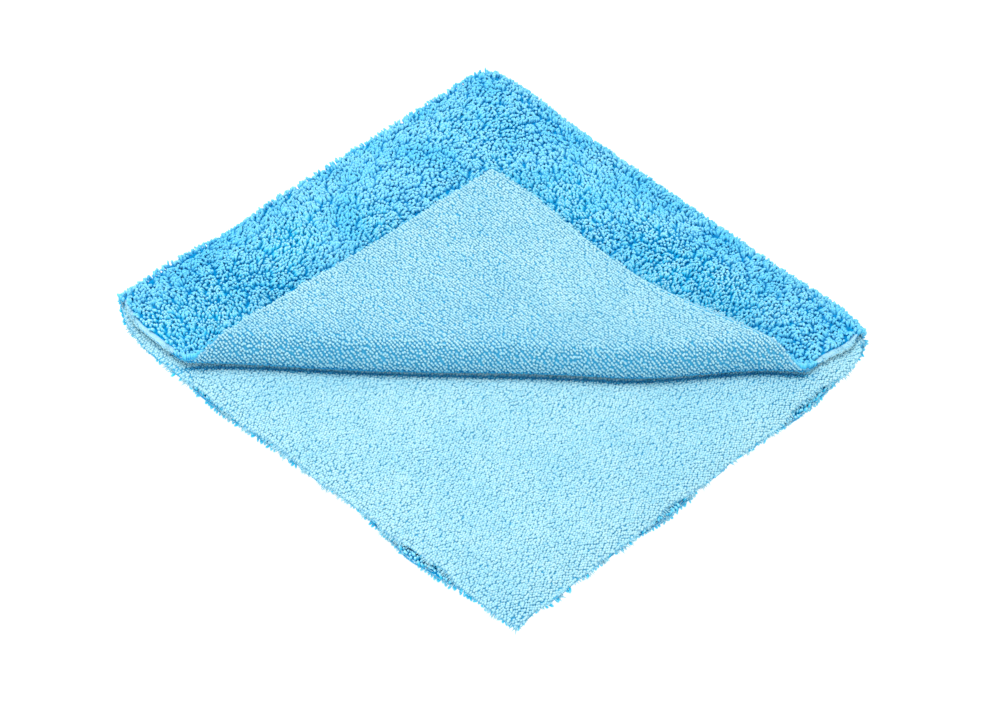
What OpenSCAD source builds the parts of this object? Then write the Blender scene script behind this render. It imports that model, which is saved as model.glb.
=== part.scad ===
// A dual-pile microfibre polishing towel, folded in quarters, with the top layer's corner turned back.
// One cloth has three yarn systems: a ground knit, a long pile on one face, a short pile on the other.
// The cloth is cut into panels and fold strips where it bends.
// X and Y run along the folded square's sides, and Z is up from the surface that it rests on.

/* [Folded towel] */
// Side of the folded square, over its fold rolls
quarter = 200; // [160:1:260]
// Radius of the free cut corners
cut_corner_r = 4; // [1:0.5:8]
// How far the bottom quarter's cut edges stand out of the square
bottom_edge = 0.5; // [0:0.5:4]
// How far the two inner quarters' cut edges stand out of the square
inner_edge = 2; // [0:0.5:4]
// How far the top quarter's cut edges lie inside the square
top_inset = 1; // [0:0.5:6]

/* [Cloth] */
// Thickness of the long pile
long_pile = 2; // [1:0.1:2.5]
// Thickness of the ground knit
ground_knit = 0.5; // [0.3:0.1:0.8]
// Thickness of the short pile
short_pile = 0.8; // [0.5:0.1:1.2]
// Air between two layers that lie on each other
layer_gap = 0.3; // [0.2:0.1:0.5]

/* [Turned-back corner] */
// Distance from the square's centre to the line where the corner starts to turn back
crease_start = 23.5; // [10:0.5:35]
// Radius of the crease roll, to the middle of the ground knit
crease_r = 6; // [5:0.5:8]

/* [Hidden] */
$fn = 96;
long_colour = [0.40, 0.76, 0.92];
ground_colour = [0.33, 0.66, 0.86];
short_colour = [0.62, 0.88, 0.95];

// A length that reaches past every cut
big = 4 * quarter;

// One layer of cloth, and the height from one layer to the next
layer = long_pile + ground_knit + short_pile;
pitch = layer + layer_gap;

// Places of the yarn systems in the lists below
LONG = 0;
GROUND = 1;
SHORT = 2;

// Each yarn system's lowest and highest point inside a layer, by which pile faces down
long_down = [[0, long_pile], [long_pile, long_pile + ground_knit], [long_pile + ground_knit, layer]];
short_down = [[layer - long_pile, layer], [short_pile, layer - long_pile], [0, short_pile]];

// Each yarn system's inner and outer radius in a roll, by which pile is outside
// The radius r runs to the middle of the ground knit
half_knit = ground_knit / 2;
function long_outside(r) =
    [[r + half_knit, r + half_knit + long_pile], [r - half_knit, r + half_knit],
     [r - half_knit - short_pile, r - half_knit]];
function short_outside(r) =
    [[r - half_knit - long_pile, r - half_knit], [r - half_knit, r + half_knit],
     [r + half_knit, r + half_knit + short_pile]];

// Cut edges, as distances from the square's centre
bottom_cut = quarter / 2 + bottom_edge;
inner_cut = quarter / 2 + inner_edge;
top_cut = quarter / 2 - top_inset;

// Rolls of the flat folds, and the height of each roll's centre
side_roll_r = short_pile + half_knit + layer_gap / 2;
inner_roll_r = long_pile + half_knit + layer_gap / 2;
outer_roll_r = inner_roll_r + pitch - long_pile + short_pile;
lower_side_z = pitch - layer_gap / 2;
centre_z = 2 * pitch - layer_gap / 2;
upper_side_z = 3 * pitch - layer_gap / 2;

// Panels stop where their folds begin, so that the rolls' outsides lie on the square
fold_x = -quarter / 2 + side_roll_r + half_knit + long_pile;
fold_y = quarter / 2 - outer_roll_r - half_knit - long_pile;

// Turned-back corner: a right-angled triangle that slopes from the roll down to the top quarter
roll_length = PI * crease_r;
corner_height = sqrt(2) * top_cut - crease_start - roll_length;
crease_z = 3 * pitch + short_pile + half_knit + crease_r;
corner_tip_z = 4 * pitch + long_pile + half_knit;
corner_tilt = atan2(crease_r, corner_height)
    + asin((crease_z - corner_tip_z) / norm([crease_r, corner_height]));

// Cutter that rounds a square corner at the origin, whose cloth lies to the left and behind
module corner_round(r) {
    difference() {
        translate([-r, -r]) square(2 * r);
        translate([-r, r]) circle(r);
    }
}

// Outline of a quarter: folds at the left and the back, cut edges at the right and the front
module quarter_outline(cut) {
    difference() {
        translate([fold_x, -cut]) square([cut - fold_x, cut + fold_y]);
        translate([cut, -cut]) corner_round(cut_corner_r);
    }
}

// Places its children in the crease's frame: X toward the free corner, Y along the crease
module along_crease() {
    rotate([0, 0, -45]) translate([crease_start, 0, 0]) children();
}

// One yarn system of a quarter, where span is its lowest and highest point in the layer
module quarter_slab(cut, level, span) {
    translate([0, 0, level * pitch + span[0]])
        linear_extrude(span[1] - span[0]) quarter_outline(cut);
}

// One yarn system of the top quarter, which ends where the corner starts to turn back
module top_slab(span) {
    difference() {
        quarter_slab(top_cut, 3, span);
        along_crease() translate([0, -big / 2, 0]) cube(big);
    }
}

// One yarn system of the turned-back corner, where span is its distance above the roll's centre
module corner_slab(span) {
    along_crease() translate([0, 0, crease_z]) rotate([0, -corner_tilt, 0]) translate([0, 0, span[0]])
        linear_extrude(span[1] - span[0]) difference() {
            polygon([[0, -corner_height], [0, corner_height], [-corner_height, 0]]);
            translate([-corner_height, 0]) rotate(-135) corner_round(cut_corner_r);
        }
}

// Section of a fold roll between two radii, on the side where X is positive
module half_ring(span) {
    difference() {
        circle(span[1]);
        circle(span[0]);
        translate([-big, -big / 2]) square(big);
    }
}

// Strip of a fold along the left side, from a cut edge to the back
module side_strip(z, cut, span) {
    translate([fold_x, -cut, z]) rotate([90, 0, 180]) linear_extrude(cut + fold_y) half_ring(span);
}

// Strip of a fold along the back, from the left to a cut edge
module centre_strip(cut, span) {
    translate([fold_x, fold_y, centre_z]) rotate([90, 0, 90]) linear_extrude(cut - fold_x) half_ring(span);
}

// Strip of the crease roll, which turns a little over half a turn
// Its ends taper as the corner narrows
module crease_strip(span) {
    reach = crease_r + half_knit + short_pile;
    end_slope = roll_length / (2 * crease_r);
    middle = corner_height + roll_length / 2;
    along_crease() translate([0, 0, crease_z]) intersection() {
        rotate([90, 0, 0]) linear_extrude(big, center = true) difference() {
            circle(span[1]);
            circle(span[0]);
            polygon([[0, 0], [0, -big], [-big, -big], [-big, big], [-big * tan(corner_tilt), big]]);
        }
        rotate([90, 0, 90]) linear_extrude(big, center = true)
            polygon([
                [-middle - end_slope * reach, -reach],
                [middle + end_slope * reach, -reach],
                [middle - end_slope * reach, reach],
                [-middle + end_slope * reach, reach],
            ]);
    }
}

// Bottom quarter: the long pile is down, on the surface
module bottom_quarter_long_pile() { color(long_colour) quarter_slab(bottom_cut, 0, long_down[LONG]); }
module bottom_quarter_ground_knit() { color(ground_colour) quarter_slab(bottom_cut, 0, long_down[GROUND]); }
module bottom_quarter_short_pile() { color(short_colour) quarter_slab(bottom_cut, 0, long_down[SHORT]); }

// Lower inner quarter: its short pile lies on the bottom quarter's
module lower_inner_quarter_long_pile() { color(long_colour) quarter_slab(inner_cut, 1, short_down[LONG]); }
module lower_inner_quarter_ground_knit() {
    color(ground_colour) quarter_slab(inner_cut, 1, short_down[GROUND]);
}
module lower_inner_quarter_short_pile() {
    color(short_colour) quarter_slab(inner_cut, 1, short_down[SHORT]);
}

// Upper inner quarter: its short pile faces up, and shows in front of the crease
module upper_inner_quarter_long_pile() { color(long_colour) quarter_slab(inner_cut, 2, long_down[LONG]); }
module upper_inner_quarter_ground_knit() {
    color(ground_colour) quarter_slab(inner_cut, 2, long_down[GROUND]);
}
module upper_inner_quarter_short_pile() {
    color(short_colour) quarter_slab(inner_cut, 2, long_down[SHORT]);
}

// Top quarter: its long pile faces up, and its free corner is turned back
module top_quarter_long_pile() { color(long_colour) top_slab(short_down[LONG]); }
module top_quarter_ground_knit() { color(ground_colour) top_slab(short_down[GROUND]); }
module top_quarter_short_pile() { color(short_colour) top_slab(short_down[SHORT]); }

// Turned-back corner: its short pile faces up
module turned_back_corner_long_pile() { color(long_colour) corner_slab(short_outside(crease_r)[LONG]); }
module turned_back_corner_ground_knit() {
    color(ground_colour) corner_slab(short_outside(crease_r)[GROUND]);
}
module turned_back_corner_short_pile() { color(short_colour) corner_slab(short_outside(crease_r)[SHORT]); }

// Outer centre fold, between the bottom and the top quarter
module outer_centre_fold_long_pile() {
    color(long_colour) centre_strip(bottom_cut, long_outside(outer_roll_r)[LONG]);
}
module outer_centre_fold_ground_knit() {
    color(ground_colour) centre_strip(bottom_cut, long_outside(outer_roll_r)[GROUND]);
}
module outer_centre_fold_short_pile() {
    color(short_colour) centre_strip(bottom_cut, long_outside(outer_roll_r)[SHORT]);
}

// Inner centre fold, between the two inner quarters
module inner_centre_fold_long_pile() {
    color(long_colour) centre_strip(inner_cut, short_outside(inner_roll_r)[LONG]);
}
module inner_centre_fold_ground_knit() {
    color(ground_colour) centre_strip(inner_cut, short_outside(inner_roll_r)[GROUND]);
}
module inner_centre_fold_short_pile() {
    color(short_colour) centre_strip(inner_cut, short_outside(inner_roll_r)[SHORT]);
}

// Lower side fold, between the bottom and the lower inner quarter
module lower_side_fold_long_pile() {
    color(long_colour) side_strip(lower_side_z, bottom_cut, long_outside(side_roll_r)[LONG]);
}
module lower_side_fold_ground_knit() {
    color(ground_colour) side_strip(lower_side_z, bottom_cut, long_outside(side_roll_r)[GROUND]);
}
module lower_side_fold_short_pile() {
    color(short_colour) side_strip(lower_side_z, bottom_cut, long_outside(side_roll_r)[SHORT]);
}

// Upper side fold, between the upper inner and the top quarter
module upper_side_fold_long_pile() {
    color(long_colour) side_strip(upper_side_z, top_cut, long_outside(side_roll_r)[LONG]);
}
module upper_side_fold_ground_knit() {
    color(ground_colour) side_strip(upper_side_z, top_cut, long_outside(side_roll_r)[GROUND]);
}
module upper_side_fold_short_pile() {
    color(short_colour) side_strip(upper_side_z, top_cut, long_outside(side_roll_r)[SHORT]);
}

// Corner crease, between the top quarter and its turned-back corner
module corner_crease_long_pile() { color(long_colour) crease_strip(short_outside(crease_r)[LONG]); }
module corner_crease_ground_knit() { color(ground_colour) crease_strip(short_outside(crease_r)[GROUND]); }
module corner_crease_short_pile() { color(short_colour) crease_strip(short_outside(crease_r)[SHORT]); }

bottom_quarter_long_pile();
bottom_quarter_ground_knit();
bottom_quarter_short_pile();
lower_inner_quarter_long_pile();
lower_inner_quarter_ground_knit();
lower_inner_quarter_short_pile();
upper_inner_quarter_long_pile();
upper_inner_quarter_ground_knit();
upper_inner_quarter_short_pile();
top_quarter_long_pile();
top_quarter_ground_knit();
top_quarter_short_pile();
turned_back_corner_long_pile();
turned_back_corner_ground_knit();
turned_back_corner_short_pile();
outer_centre_fold_long_pile();
outer_centre_fold_ground_knit();
outer_centre_fold_short_pile();
inner_centre_fold_long_pile();
inner_centre_fold_ground_knit();
inner_centre_fold_short_pile();
lower_side_fold_long_pile();
lower_side_fold_ground_knit();
lower_side_fold_short_pile();
upper_side_fold_long_pile();
upper_side_fold_ground_knit();
upper_side_fold_short_pile();
corner_crease_long_pile();
corner_crease_ground_knit();
corner_crease_short_pile();
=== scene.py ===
"""A light blue dual-pile microfibre towel, folded in quarters, with its top corner turned back."""
import math

import bpy
import numpy as np
from mathutils import Matrix, Vector
from mathutils.geometry import delaunay_2d_cdt


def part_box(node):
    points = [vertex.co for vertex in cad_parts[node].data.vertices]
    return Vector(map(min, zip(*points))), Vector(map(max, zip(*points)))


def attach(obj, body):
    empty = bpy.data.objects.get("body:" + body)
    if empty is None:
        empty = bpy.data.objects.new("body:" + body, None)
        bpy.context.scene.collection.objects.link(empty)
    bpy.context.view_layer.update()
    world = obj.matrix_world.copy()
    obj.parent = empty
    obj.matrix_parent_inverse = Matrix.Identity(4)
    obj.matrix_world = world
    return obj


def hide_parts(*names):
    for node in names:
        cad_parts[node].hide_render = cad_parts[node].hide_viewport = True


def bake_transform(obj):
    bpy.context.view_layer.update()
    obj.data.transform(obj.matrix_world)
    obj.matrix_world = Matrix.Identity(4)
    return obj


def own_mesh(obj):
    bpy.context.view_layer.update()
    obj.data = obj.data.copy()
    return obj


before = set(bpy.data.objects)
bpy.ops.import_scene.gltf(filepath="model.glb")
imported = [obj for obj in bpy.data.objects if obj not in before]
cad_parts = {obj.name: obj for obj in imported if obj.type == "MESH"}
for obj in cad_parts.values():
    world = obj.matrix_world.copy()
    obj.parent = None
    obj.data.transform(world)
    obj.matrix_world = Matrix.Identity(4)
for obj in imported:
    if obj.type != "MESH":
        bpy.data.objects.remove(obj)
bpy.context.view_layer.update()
rng = np.random.default_rng(4)

# Lengths below are in millimetres, and meshes are made in metres
MM = 0.001
ROOT2 = math.sqrt(2)
MOST_FACES = 190_000


# ---- Places, from the frame ----

def span(node, axis):
    """Lowest and highest coordinate of a CAD node along an axis, in millimetres."""
    low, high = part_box(node)
    return low[axis] / MM, high[axis] / MM


def middle(node, axis):
    return sum(span(node, axis)) / 2


PANELS = ("bottom_quarter", "lower_inner_quarter", "upper_inner_quarter", "top_quarter")
KNIT = span("bottom_quarter_ground_knit", 2)[1] - span("bottom_quarter_ground_knit", 2)[0]
LEVEL = {p: middle(f"{p}_ground_knit", 2) for p in PANELS}

# The two folded sides, and each quarter's cut edges
FOLD_X = span("bottom_quarter_ground_knit", 0)[0]
FOLD_Y = span("bottom_quarter_ground_knit", 1)[1]
CUT = {p: -span(f"{p}_ground_knit", 1)[0] for p in PANELS}

# The crease roll, in a frame turned so that u runs to the free corner and v along the crease
crease_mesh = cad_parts["corner_crease_ground_knit"].data
crease_points = np.array([v.co for v in crease_mesh.vertices]) / MM
ROLL_LOW = crease_points[:, 2].min() + KNIT / 2
ROLL_HIGH = span("corner_crease_ground_knit", 2)[1] - KNIT / 2
ROLL_R = (ROLL_HIGH - ROLL_LOW) / 2
ROLL_Z = (ROLL_HIGH + ROLL_LOW) / 2
lower_half = crease_points[crease_points[:, 2] < ROLL_Z]
CREASE_U = ((lower_half[:, 0] - lower_half[:, 1]) / ROOT2).min()
ROLL_LENGTH = math.pi * ROLL_R
CREASE_HALF = ROOT2 * CUT["top_quarter"] - CREASE_U
CORNER_HEIGHT = CREASE_HALF - ROLL_LENGTH
TIP_Z = span("turned_back_corner_ground_knit", 2)[0] + KNIT / 2


# ---- The cloth's shape ----

def smooth(t):
    t = np.clip(t, 0, 1)
    return t * t * (3 - 2 * t)


def unit(vectors):
    return vectors / np.linalg.norm(vectors, axis=-1, keepdims=True)


def waves(t, phase, size):
    """An uneven wavy line of about that size."""
    return size * (0.5 * np.sin(t / 6.1 + phase) + 0.35 * np.sin(t / 2.7 + 2.3 * phase)
                   + 0.6 * np.sin(t / 17 + 0.7 * phase))


def undulation(x, y):
    """Soft hills and hollows that the stack's top shows."""
    return (0.5 * np.sin(x / 21 + 0.9 * np.sin(y / 33)) + 0.38 * np.sin((x + 1.6 * y) / 35 + 1.3)
            + 0.3 * np.sin(y / 13 - x / 24 + 2.1))


# How much higher the top quarter stands along the side fold and the back fold, how far the folds puff out,
# and how far each free edge hangs down
SIDE_SWELL, BACK_SWELL = 0.8, 1.7
SIDE_PUFF, BACK_PUFF, INNER_PUFF = 1.2, 2.0, 1.95
HANG = {"bottom_quarter": 0.0, "lower_inner_quarter": 1.0, "upper_inner_quarter": 3.6, "top_quarter": 1.7}

# Where each quarter's front and right cut edges lie. The lower quarters draw back under the upper ones.
FRONT = {p: -CUT[p] + inset for p, inset in zip(PANELS, (4.5, 5.0, 2.4, 1.5))}
RIGHT = {p: CUT[p] - inset for p, inset in zip(PANELS, (4.0, 4.5, 2.2, 4.5))}


def quarter_height(name, x, y):
    """Height of the middle of a quarter's ground knit. The higher quarters show more of the hills."""
    share = PANELS.index(name) / 3
    free = (1 - np.exp(-np.abs(x - FOLD_X) / 7)) * (1 - np.exp(-np.abs(FOLD_Y - y) / 7))
    front = np.exp(-np.abs(y - FRONT[name]) / 6)
    side = np.exp(-np.abs(RIGHT[name] - x) / 6)
    hang = HANG[name] * (1 - (1 - front) * (1 - side) + 0.35 * front * side)
    swell = SIDE_SWELL + (BACK_SWELL - SIDE_SWELL) * np.exp(-np.abs(FOLD_Y - y) / 12)
    return LEVEL[name] + share * (free * undulation(x, y) + swell * (1 - free)) - free * hang


def seam_height(name, swell=BACK_SWELL):
    """Height of a quarter's ground knit along the back fold, or along the side fold with its own swell."""
    return LEVEL[name] + swell * PANELS.index(name) / 3


# How far each corner of the folded towel is rounded off in x and in y, by the signs of its x and y. The
# rounding starts where the two coordinates' sizes add up to CORNER_START.
CORNER_START, CORNER_REACH = 178, 23
CORNER_PULL = {(-1, 1): (0.6, 0.6), (1, 1): (4.0, 4.0), (-1, -1): (-0.4, 7.5), (1, -1): (-2.0, 2.4)}


def settle(points):
    """Rounds off the four corners of the folded towel."""
    moved = points.copy()
    for (sign_x, sign_y), (pull_x, pull_y) in CORNER_PULL.items():
        out = sign_x * points[..., 0] + sign_y * points[..., 1] - CORNER_START
        reach = np.clip(out / CORNER_REACH, 0, 1.2) ** 2
        moved[..., 0] -= sign_x * pull_x * reach
        moved[..., 1] -= sign_y * pull_y * reach
    return moved


def bend(v):
    """How far the crease lies back from its place in the flat cut, most of all at its right end."""
    return -2.3 - 8.2 * smooth((v - 40) / 62)


def quarter_surface(name):
    def surface(x, y):
        return settle(np.stack([x, y, quarter_height(name, x, y)], -1))
    return surface


def turned(u, v, z):
    """Points of the crease's frame, in the row frame."""
    return np.stack([(u + v) / ROOT2, (v - u) / ROOT2, z], -1)


def top_height(u, v):
    return quarter_height("top_quarter", (u + v) / ROOT2, (v - u) / ROOT2)


# The roll: how far its top is pressed down, its share of the hills below, how slowly it starts to rise, and
# how far it bulges forward, as a share of its radius
ROLL_PRESS, ROLL_HILLS, ROLL_RISE, ROLL_BULGE = 0.4, 0.3, 1.4, 0.85

# The turned-back corner: its length against the flat cut, how deep it sags between the roll and its tip, how
# far it shifts forward on the right, and its share of the hills below
CORNER_STRETCH, CORNER_SAG, CORNER_SHIFT, CORNER_HILLS = 1.035, 0.8, 5, 0.35


def roll_top(start, v):
    """Height of the roll's top. It evens out most of the hills below."""
    level = LEVEL["top_quarter"]
    return level + 2 * ROLL_R - ROLL_PRESS + ROLL_HILLS * (top_height(start, v) - level)


def crease_surface(arc, v):
    """The roll, from the top quarter at arc 0 up and over to the turned-back corner."""
    angle = arc / ROLL_R
    start = CREASE_U + bend(v)
    base = top_height(start, v)
    rise = (roll_top(start, v) - base) * np.maximum((1 - np.cos(angle)) / 2, 0) ** ROLL_RISE
    bulge = ROLL_BULGE * np.sin(angle) * (1 + 0.3 * np.cos(angle))
    return settle(turned(start + ROLL_R * bulge, v, base + rise))


def corner_surface(back, v):
    """The turned-back corner, from the roll's top at back 0 down to its tip on the top quarter."""
    start = CREASE_U + bend(v)
    rise = roll_top(start, v)
    share = np.clip(back / CORNER_HEIGHT, -0.05, 1.05)
    u = CREASE_U + bend(v) * (1 - smooth(share)) - CORNER_STRETCH * back
    height = rise * (1 - share) + TIP_Z * share
    sag = CORNER_SAG * np.sin(math.pi * np.clip(share, 0, 1))
    shift = CORNER_SHIFT * np.sin(math.pi * np.clip(share, 0, 1)) * smooth(v / 60)
    place = turned(u, v, height - sag + CORNER_HILLS * share * undulation(u * 1.3, v * 1.2))
    return settle(place - np.stack([0 * shift, shift, 0 * shift], -1))


def fold_arc(lower, upper, arc, x, y):
    """How far out a fold between two quarters lies, as a share of its reach, then its reach and height."""
    low, high = (quarter_height(p, x, y) for p in (lower, upper))
    reach = (LEVEL[upper] - LEVEL[lower]) / 2
    angle = arc / reach
    return np.sin(angle), reach, (low + high) / 2 - (high - low) / 2 * np.cos(angle)


def side_surface(lower, upper):
    """A fold along the left side: arc runs from the lower quarter round to the upper one."""
    def surface(arc, y):
        out, reach, height = fold_arc(lower, upper, arc, FOLD_X + 0 * y, y)
        puff = SIDE_PUFF + 0.9 * bump(y, -85, -50) - 1.7 * bump(y, -60, -18)
        return settle(np.stack([FOLD_X - (reach + puff) * out, y + 0 * arc, height], -1))
    return surface


def outer_puff(x):
    """How far the outer back fold puffs out, most of all near its two ends."""
    return BACK_PUFF * (1 + bump(x, -112, -48) + 0.65 * bump(x, 50, 98))


def inner_puff(x):
    return INNER_PUFF + 0 * x


def centre_surface(lower, upper, puff):
    """A fold along the back: arc runs from the lower quarter round to the upper one."""
    def surface(arc, x):
        out, reach, height = fold_arc(lower, upper, arc, x, FOLD_Y + 0 * x)
        return settle(np.stack([x + 0 * arc, FOLD_Y + (reach + puff(x)) * out, height], -1))
    return surface


SIDE_REACH = (LEVEL["lower_inner_quarter"] - LEVEL["bottom_quarter"]) / 2
OUTER_REACH = (LEVEL["top_quarter"] - LEVEL["bottom_quarter"]) / 2
INNER_REACH = (LEVEL["upper_inner_quarter"] - LEVEL["lower_inner_quarter"]) / 2


def wrap_surface(side_arc, centre_arc):
    """The back corner, where the side fold itself goes round the centre fold."""
    around, over = side_arc / SIDE_REACH, centre_arc / (OUTER_REACH - SIDE_REACH)
    inner = (1 - np.cos(around)) / 2
    low = seam_height("bottom_quarter") * (1 - inner) + seam_height("lower_inner_quarter") * inner
    high = seam_height("top_quarter") * (1 - inner) + seam_height("upper_inner_quarter") * inner
    reach = (OUTER_REACH + outer_puff(FOLD_X)) * (1 - inner) + (INNER_REACH + INNER_PUFF) * inner
    return settle(np.stack([FOLD_X - (SIDE_REACH + SIDE_PUFF) * np.sin(around), FOLD_Y + reach * np.sin(over),
                            (low + high) / 2 - (high - low) / 2 * np.cos(over)], -1))


# ---- Outlines, in each surface's own two coordinates ----

def signed_area(outline):
    """Twice an outline's area, with a minus if the outline runs clockwise."""
    after = np.roll(outline, -1, 0)
    return (outline[:, 0] * after[:, 1] - outline[:, 1] * after[:, 0]).sum()


def stepped(a, b, step=1.5):
    """Points from a up to, not including, b."""
    a, b = np.array(a, float), np.array(b, float)
    count = max(2, int(np.linalg.norm(b - a) / step))
    return a + (b - a) * np.arange(count)[:, None] / count


def closed(sides):
    """One outline from [(points, is a cut edge)], and which of its points lie on a cut edge."""
    points = np.concatenate([s for s, _ in sides])
    cut = np.concatenate([np.full(len(s), c) for s, c in sides])
    return points, cut


def bump(t, low, high):
    """A smooth hump from low to high, 1 in the middle and 0 outside."""
    return np.sin(math.pi * np.clip((t - low) / (high - low), 0, 1)) ** 2


def front_edge(name, x):
    """Line of a quarter's front cut edge. The two lowest come out a little near the free corner."""
    y = FRONT[name] + waves(x, 1.7 * PANELS.index(name), 0.7) * smooth((x - FOLD_X) / 12)
    y = y + 1.8 * smooth((x + 30) / 80)
    if name in PANELS[:2]:
        return y - 3.8 * bump(x, 18, 84) - 2.4 * bump(x, -75, -8)
    return y + 0.7 * bump(x, 34, 88)


def right_edge(name, y):
    x = RIGHT[name] + waves(y, 1.7 * PANELS.index(name) + 4, 0.7) * smooth((FOLD_Y - y) / 12)
    if name in PANELS[:2]:
        return x + 1.6 * bump(y, -66, -30) + 3.0 * bump(y, -52, 20) + 2.6 * bump(y, 8, 94)
    return x - 1.6 * bump(y, 30, 94)


def quarter_outline(name, corner_r=4.0):
    front = stepped((FOLD_X, FRONT[name]), (RIGHT[name] - corner_r, FRONT[name]))
    right = stepped((RIGHT[name], FRONT[name] + corner_r), (RIGHT[name], FOLD_Y))
    front[:, 1] = front_edge(name, front[:, 0])
    right[:, 0] = right_edge(name, right[:, 1])
    angle = np.linspace(0, math.pi / 2, 7)[1:-1, None]
    corner = front[-1] + (right[0] - front[-1]) * np.concatenate([np.sin(angle), 1 - np.cos(angle)], 1)
    return closed([
        (stepped((FOLD_X, FOLD_Y), front[0]), False),
        (front, True),
        (corner, True),
        (right, True),
        (stepped((RIGHT[name], FOLD_Y), (FOLD_X, FOLD_Y)), False),
    ])


def top_outline():
    name = "top_quarter"
    v = np.linspace(-CREASE_HALF, CREASE_HALF, 160)
    crease = turned(CREASE_U + bend(v), v, 0 * v)[:, :2]
    right = stepped(crease[-1], (RIGHT[name], FOLD_Y))
    share = (right[:, 1] - right[0, 1]) / (FOLD_Y - right[0, 1])
    right[:, 0] = right[0, 0] + (RIGHT[name] - right[0, 0]) * smooth(share)
    right[:, 0] += waves(right[:, 1], 3, 0.4) * np.sin(math.pi * share)
    front = stepped((FOLD_X, FRONT[name]), crease[0])
    front[:, 1] += waves(front[:, 0], 5, 0.4) * np.sin(math.pi * np.arange(len(front)) / len(front))
    return closed([
        (stepped((FOLD_X, FOLD_Y), (FOLD_X, FRONT[name])), False),
        (front, True),
        (crease, False),
        (right, True),
        (stepped((RIGHT[name], FOLD_Y), (FOLD_X, FOLD_Y)), False),
    ])


def crease_outline():
    end = CORNER_HEIGHT
    return closed([
        (stepped((0, -CREASE_HALF), (ROLL_LENGTH, -end)), True),
        (stepped((ROLL_LENGTH, -end), (ROLL_LENGTH, end)), False),
        (stepped((ROLL_LENGTH, end), (0, CREASE_HALF)), True),
        (stepped((0, CREASE_HALF), (0, -CREASE_HALF)), False),
    ])


def corner_outline(tip_r=2.5):
    high = CORNER_HEIGHT
    angle = np.linspace(math.pi / 4, -math.pi / 4, 7)
    tip = np.array([high - tip_r * ROOT2, 0]) + tip_r * np.stack([np.cos(angle), np.sin(angle)], -1)
    right = stepped((0, high), tip[0])
    left = stepped(tip[-1], (0, -high))
    for side, phase in ((right, 1), (left, 2)):
        share = side[:, 0] / high
        side[:, 0] += waves(side[:, 0], phase, 0.4) * np.sin(math.pi * share)
    return closed([
        (stepped((0, -high), (0, high)), False),
        (right, True),
        (tip, True),
        (left, True),
    ])


def strip_outline(reach, low, high, part=(0, 1), cut_low=False, cut_high=False):
    a, b = math.pi * reach * part[0], math.pi * reach * part[1]
    return closed([
        (stepped((a, low), (b, low)), cut_low),
        (stepped((b, low), (b, high)), False),
        (stepped((b, high), (a, high)), cut_high),
        (stepped((a, high), (a, low)), False),
    ])


# ---- Mesh making ----

def new_object(name, points, groups, attributes):
    """A smooth mesh object from points in millimetres and a list of face arrays."""
    mesh = bpy.data.meshes.new(name)
    mesh.vertices.add(len(points))
    mesh.vertices.foreach_set("co", (points * MM).astype(np.float32).ravel())
    corners = np.concatenate([g.ravel() for g in groups]).astype(np.int32)
    sizes = np.concatenate([np.full(len(g), g.shape[1]) for g in groups]).astype(np.int32)
    mesh.loops.add(len(corners))
    mesh.loops.foreach_set("vertex_index", corners)
    mesh.polygons.add(len(sizes))
    mesh.polygons.foreach_set("loop_start", np.concatenate([[0], np.cumsum(sizes)[:-1]]).astype(np.int32))
    mesh.polygons.foreach_set("loop_total", sizes)
    mesh.polygons.foreach_set("use_smooth", np.ones(len(sizes), bool))
    for label, values in attributes:
        mesh.attributes.new(label, "FLOAT", "POINT").data.foreach_set("value", values.astype(np.float32))
    mesh.update(calc_edges=True)
    mesh.validate()
    thing = bpy.data.objects.new(name, mesh)
    bpy.context.scene.collection.objects.link(thing)
    return thing


def inside(points, outline):
    """Which points lie inside a closed outline."""
    result = np.zeros(len(points), bool)
    after = np.roll(outline, -1, 0)
    for (xa, ya), (xb, yb) in zip(outline, after):
        if ya == yb:
            continue
        crosses = (points[:, 1] > ya) != (points[:, 1] > yb)
        at = xa + (points[:, 1] - ya) * (xb - xa) / (yb - ya)
        result ^= crosses & (points[:, 0] < at)
    return result


def nearest(points, targets):
    """Distance to the nearest target, and its number."""
    distance, number = np.empty(len(points)), np.empty(len(points), int)
    for i in range(0, len(points), 4000):
        gap = points[i:i + 4000, None] - targets[None]
        squared = (gap ** 2).sum(-1)
        number[i:i + 4000] = squared.argmin(1)
        distance[i:i + 4000] = np.sqrt(squared.min(1))
    return distance, number


def cut_runs(points, cut):
    """The stretches of an outline that are cut edges."""
    if not cut.any():
        return []
    first = int(np.argmin(cut)) if not cut.all() else 0
    points, cut = np.roll(points, -first, 0), np.roll(cut, -first)
    runs, run = [], []
    for i, point in enumerate(points):
        if cut[i]:
            run.append(point)
        elif run:
            runs.append(np.array(run + [point]))
            run = []
    if run:
        runs.append(np.array(run + [points[0]]))
    return runs


# The smooth rim: how many sides its tube has, its half width and thickness, thin or thick, and the length of
# the tufts on a thick one
BAND_SIDES = 8
THIN_BAND, THICK_BAND = (0.75, 0.3), (1.15, 0.5)
RIM_TUFT = 1.5


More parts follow.
